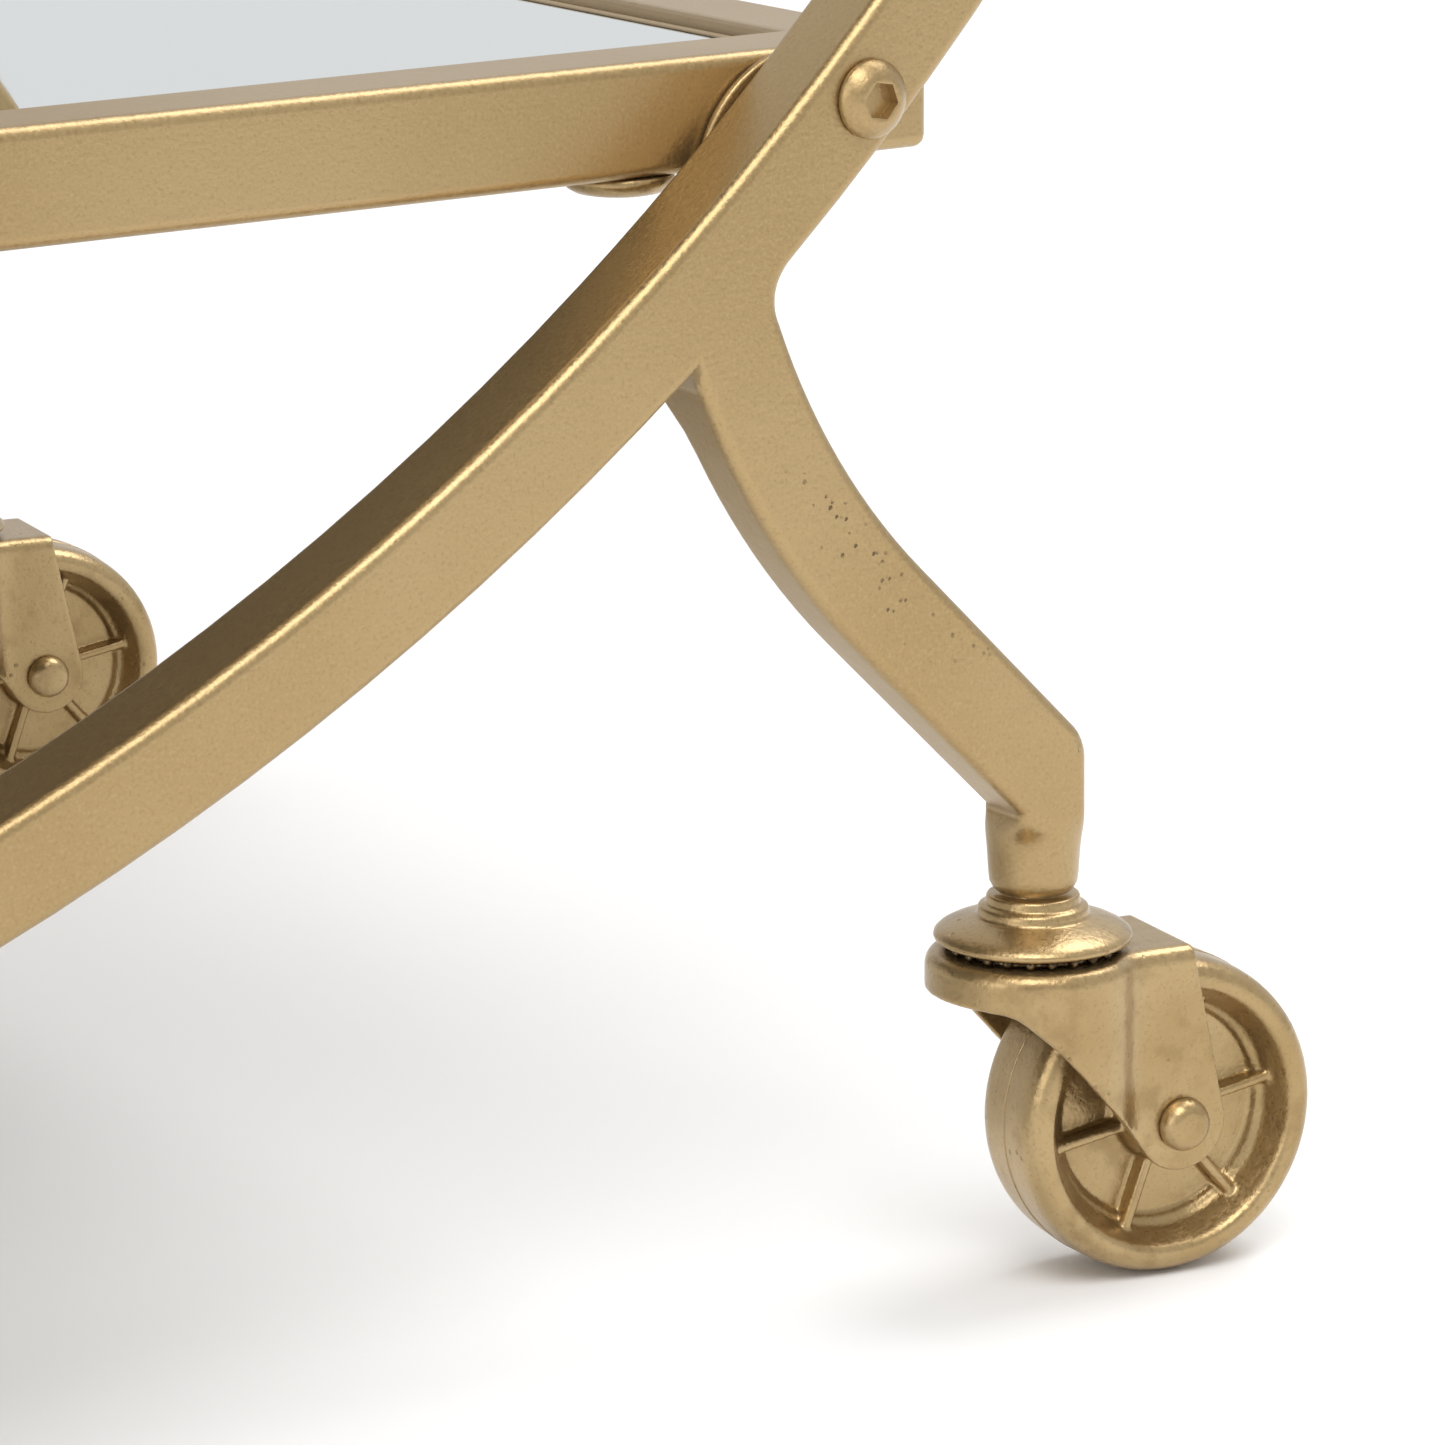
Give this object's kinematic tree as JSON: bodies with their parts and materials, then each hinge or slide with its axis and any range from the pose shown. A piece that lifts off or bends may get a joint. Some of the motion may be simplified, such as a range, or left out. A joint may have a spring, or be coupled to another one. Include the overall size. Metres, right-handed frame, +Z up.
{
  "type": "bar cart",
  "caption": "Bar cart with two round tube frames, two mirrored shelves and S-shaped feet on swivel casters.",
  "frame": {"origin": "on the floor under the middle of the cart", "axes": "+X along the cart to its right-hand end, +Y from the front ring to the back ring, +Z up"},
  "size_m": [0.8622, 0.396, 0.9176],
  "materials": {
    "tube_paint": "satin gold metallic paint with fine grain",
    "cast_paint": "satin gold metallic paint over castings, slightly pitted",
    "bearing_steel": "dark greased steel",
    "mirror_glass": "clear silvered glass, cool white"
  },
  "bodies": {
    "frame": {"ring_front_lower": "tube_paint", "ring_front_upper": "tube_paint", "ring_back_lower": "tube_paint", "ring_back_upper": "tube_paint", "foot_front_right": "cast_paint", "foot_front_left": "cast_paint", "foot_back_right": "cast_paint", "foot_back_left": "cast_paint", "lower_rail_front": "tube_paint", "lower_rail_back": "tube_paint", "lower_rail_right": "tube_paint", "lower_rail_left": "tube_paint", "lower_mirror_panel": "mirror_glass", "upper_rail_front": "tube_paint", "upper_rail_back": "tube_paint", "upper_rail_right": "tube_paint", "upper_rail_left": "tube_paint", "upper_mirror_panel": "mirror_glass", "rail_button_front_right": "tube_paint", "rail_button_front_left": "tube_paint", "rail_button_back_right": "tube_paint", "rail_button_back_left": "tube_paint", "bolt_lower_front_right": "cast_paint", "saddle_washer_lower_front_right": "tube_paint", "bolt_lower_front_left": "cast_paint", "saddle_washer_lower_front_left": "tube_paint", "bolt_lower_back_right": "cast_paint", "saddle_washer_lower_back_right": "tube_paint", "bolt_lower_back_left": "cast_paint", "saddle_washer_lower_back_left": "tube_paint", "bolt_upper_front_right": "cast_paint", "saddle_washer_upper_front_right": "tube_paint", "bolt_upper_front_left": "cast_paint", "saddle_washer_upper_front_left": "tube_paint", "bolt_upper_back_right": "cast_paint", "saddle_washer_upper_back_right": "tube_paint", "bolt_upper_back_left": "cast_paint", "saddle_washer_upper_back_left": "tube_paint", "caster_stem_front_right": "cast_paint", "ball_race_front_right": "bearing_steel", "caster_stem_front_left": "cast_paint", "ball_race_front_left": "bearing_steel", "caster_stem_back_right": "cast_paint", "ball_race_back_right": "bearing_steel", "caster_stem_back_left": "cast_paint", "ball_race_back_left": "bearing_steel"},
    "fork_front_right": {"caster_fork_front_right": "cast_paint", "axle_rivet_front_right": "cast_paint"},
    "wheel_front_right": {"caster_wheel_front_right": "cast_paint"},
    "fork_front_left": {"caster_fork_front_left": "cast_paint", "axle_rivet_front_left": "cast_paint"},
    "wheel_front_left": {"caster_wheel_front_left": "cast_paint"},
    "fork_back_right": {"caster_fork_back_right": "cast_paint", "axle_rivet_back_right": "cast_paint"},
    "wheel_back_right": {"caster_wheel_back_right": "cast_paint"},
    "fork_back_left": {"caster_fork_back_left": "cast_paint", "axle_rivet_back_left": "cast_paint"},
    "wheel_back_left": {"caster_wheel_back_left": "cast_paint"}
  },
  "joints": [
    {"name": "swivel_front_right", "type": "hinge", "parent": "frame", "child": "fork_front_right", "pos_m": [0.338, -0.1805, 0.06], "axis": [0, 0, 1], "continuous": true},
    {"name": "roll_front_right", "type": "hinge", "parent": "fork_front_right", "child": "wheel_front_right", "pos_m": [0.35806, -0.18364, 0.0254], "axis": [0.1547, 0.988, 0], "continuous": true},
    {"name": "swivel_front_left", "type": "hinge", "parent": "frame", "child": "fork_front_left", "pos_m": [-0.338, -0.1805, 0.06], "axis": [0, 0, 1], "continuous": true},
    {"name": "roll_front_left", "type": "hinge", "parent": "fork_front_left", "child": "wheel_front_left", "pos_m": [-0.35806, -0.17736, 0.0254], "axis": [0.1547, 0.988, 0], "continuous": true},
    {"name": "swivel_back_right", "type": "hinge", "parent": "frame", "child": "fork_back_right", "pos_m": [0.338, 0.1805, 0.06], "axis": [0, 0, 1], "continuous": true},
    {"name": "roll_back_right", "type": "hinge", "parent": "fork_back_right", "child": "wheel_back_right", "pos_m": [0.35806, 0.17736, 0.0254], "axis": [0.1547, 0.988, 0], "continuous": true},
    {"name": "swivel_back_left", "type": "hinge", "parent": "frame", "child": "fork_back_left", "pos_m": [-0.338, 0.1805, 0.06], "axis": [0, 0, 1], "continuous": true},
    {"name": "roll_back_left", "type": "hinge", "parent": "fork_back_left", "child": "wheel_back_left", "pos_m": [-0.35806, 0.18364, 0.0254], "axis": [0.1547, 0.988, 0], "continuous": true}
  ]
}
